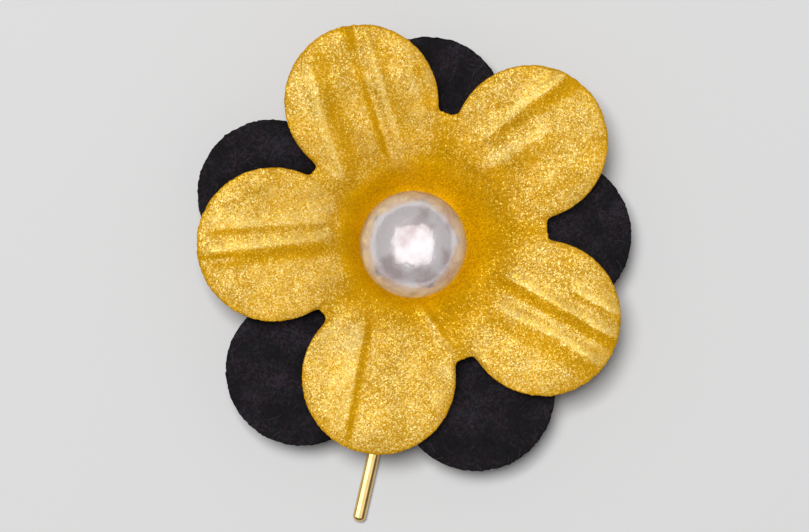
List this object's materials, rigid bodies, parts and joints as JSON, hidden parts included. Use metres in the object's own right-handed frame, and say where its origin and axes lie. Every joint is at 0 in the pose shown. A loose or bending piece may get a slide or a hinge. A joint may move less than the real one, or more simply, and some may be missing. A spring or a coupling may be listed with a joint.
{
  "type": "flower lapel pin",
  "caption": "Lapel pin: a gold pressed-paper flower over a turned black one, a pearl glued in its bowl, and a plain wire stem on a round pad behind.",
  "frame": {"origin": "centre of the pad's back face, on which the pin lies", "axes": "+Z out of the flower's face, +Y towards the top of the flower as worn, +X to the viewer's right"},
  "size_m": [0.0407, 0.0469, 0.0129],
  "materials": {
    "gold_paper": "metallic mica paint, satin",
    "black_paper": "matte, fibrous",
    "pearl": "pearlescent gloss",
    "pin_metal": "polished"
  },
  "bodies": {
    "root": {"gold_flower": "gold_paper", "black_flower": "black_paper", "pearl": "pearl", "stick_pin": "pin_metal"}
  },
  "joints": []
}
